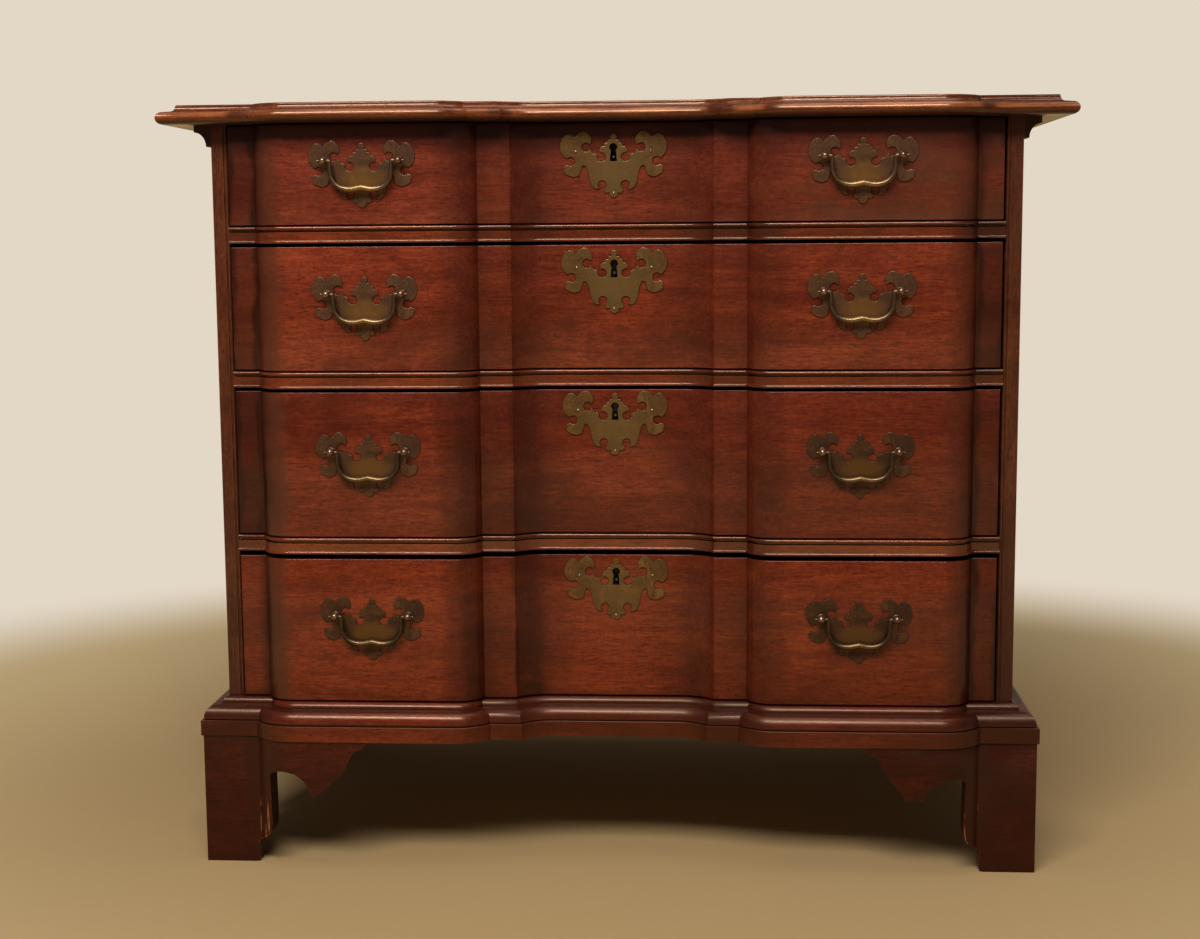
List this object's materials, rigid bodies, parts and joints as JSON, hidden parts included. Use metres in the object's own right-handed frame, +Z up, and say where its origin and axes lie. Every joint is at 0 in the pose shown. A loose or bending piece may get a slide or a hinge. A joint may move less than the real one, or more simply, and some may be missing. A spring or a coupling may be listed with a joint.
{
  "type": "block front chest",
  "caption": "Block front chest of drawers with graduated blocked drawers, beaded rails, moulded top and base, scrolled bracket feet and brass bail pulls.",
  "frame": {"origin": "centre of the footprint, on the floor", "axes": "+Z up, the drawer fronts face -Y, +X to the right of someone facing the drawers"},
  "size_m": [0.9184, 0.5212, 0.7875],
  "materials": {
    "mahogany_front": "satin lacquer over red-brown stain",
    "mahogany_case": "satin lacquer over dark red-brown stain",
    "secondary_wood": "unfinished sawn and planed boards",
    "brass": "aged olive-brown patina, rubbed bright on the high spots",
    "lock_iron": "dark dull iron of the locks"
  },
  "bodies": {
    "case": {"top": "mahogany_case", "side_left": "mahogany_case", "side_right": "mahogany_case", "back_panel": "secondary_wood", "bottom_board": "secondary_wood", "cove_left": "mahogany_case", "cove_right": "mahogany_case", "divider_rail_1": "mahogany_front", "divider_rail_2": "mahogany_front", "divider_rail_3": "mahogany_front", "dust_panel_1": "secondary_wood", "dust_panel_2": "secondary_wood", "dust_panel_3": "secondary_wood", "base_moulding_front": "mahogany_case", "base_moulding_left": "mahogany_case", "base_moulding_right": "mahogany_case", "foot_front_left": "mahogany_case", "foot_front_right": "mahogany_case", "foot_rear_left": "mahogany_case", "foot_rear_right": "mahogany_case"},
    "drawer_1": {"drawer_1_front": "mahogany_front", "drawer_1_side_left": "secondary_wood", "drawer_1_side_right": "secondary_wood", "drawer_1_bottom": "secondary_wood", "drawer_1_back": "secondary_wood", "escutcheon_1": "brass", "plate_1_left": "brass", "plate_1_right": "brass"},
    "drawer_2": {"drawer_2_front": "mahogany_front", "drawer_2_side_left": "secondary_wood", "drawer_2_side_right": "secondary_wood", "drawer_2_bottom": "secondary_wood", "drawer_2_back": "secondary_wood", "escutcheon_2": "brass", "plate_2_left": "brass", "plate_2_right": "brass"},
    "drawer_3": {"drawer_3_front": "mahogany_front", "drawer_3_side_left": "secondary_wood", "drawer_3_side_right": "secondary_wood", "drawer_3_bottom": "secondary_wood", "drawer_3_back": "secondary_wood", "escutcheon_3": "brass", "plate_3_left": "brass", "plate_3_right": "brass"},
    "drawer_4": {"drawer_4_front": "mahogany_front", "drawer_4_side_left": "secondary_wood", "drawer_4_side_right": "secondary_wood", "drawer_4_bottom": "secondary_wood", "drawer_4_back": "secondary_wood", "escutcheon_4": "brass", "plate_4_left": "brass", "plate_4_right": "brass"},
    "bail_1_left": {"bail_1_left": "brass"},
    "bail_1_right": {"bail_1_right": "brass"},
    "bail_2_left": {"bail_2_left": "brass"},
    "bail_2_right": {"bail_2_right": "brass"},
    "bail_3_left": {"bail_3_left": "brass"},
    "bail_3_right": {"bail_3_right": "brass"},
    "bail_4_left": {"bail_4_left": "brass"},
    "bail_4_right": {"bail_4_right": "brass"}
  },
  "joints": [
    {"name": "drawer_1_slide", "type": "slide", "parent": "case", "child": "drawer_1", "axis": [0, -1, 0], "range_m": [0, 0.34]},
    {"name": "bail_1_left_swing", "type": "hinge", "parent": "drawer_1", "child": "bail_1_left", "pos_m": [-0.2498, -0.2438, 0.72915], "axis": [-1, 0, 0], "range_deg": [-4, 88]},
    {"name": "bail_1_right_swing", "type": "hinge", "parent": "drawer_1", "child": "bail_1_right", "pos_m": [0.2498, -0.2438, 0.72915], "axis": [-1, 0, 0], "range_deg": [-4, 88]},
    {"name": "drawer_2_slide", "type": "slide", "parent": "case", "child": "drawer_2", "axis": [0, -1, 0], "range_m": [0, 0.34]},
    {"name": "bail_2_left_swing", "type": "hinge", "parent": "drawer_2", "child": "bail_2_left", "pos_m": [-0.2498, -0.2438, 0.596], "axis": [-1, 0, 0], "range_deg": [-4, 88]},
    {"name": "bail_2_right_swing", "type": "hinge", "parent": "drawer_2", "child": "bail_2_right", "pos_m": [0.2498, -0.2438, 0.596], "axis": [-1, 0, 0], "range_deg": [-4, 88]},
    {"name": "drawer_3_slide", "type": "slide", "parent": "case", "child": "drawer_3", "axis": [0, -1, 0], "range_m": [0, 0.34]},
    {"name": "bail_3_left_swing", "type": "hinge", "parent": "drawer_3", "child": "bail_3_left", "pos_m": [-0.2498, -0.2438, 0.43555], "axis": [-1, 0, 0], "range_deg": [-4, 88]},
    {"name": "bail_3_right_swing", "type": "hinge", "parent": "drawer_3", "child": "bail_3_right", "pos_m": [0.2498, -0.2438, 0.43555], "axis": [-1, 0, 0], "range_deg": [-4, 88]},
    {"name": "drawer_4_slide", "type": "slide", "parent": "case", "child": "drawer_4", "axis": [0, -1, 0], "range_m": [0, 0.34]},
    {"name": "bail_4_left_swing", "type": "hinge", "parent": "drawer_4", "child": "bail_4_left", "pos_m": [-0.2498, -0.2438, 0.265], "axis": [-1, 0, 0], "range_deg": [-4, 88]},
    {"name": "bail_4_right_swing", "type": "hinge", "parent": "drawer_4", "child": "bail_4_right", "pos_m": [0.2498, -0.2438, 0.265], "axis": [-1, 0, 0], "range_deg": [-4, 88]}
  ]
}
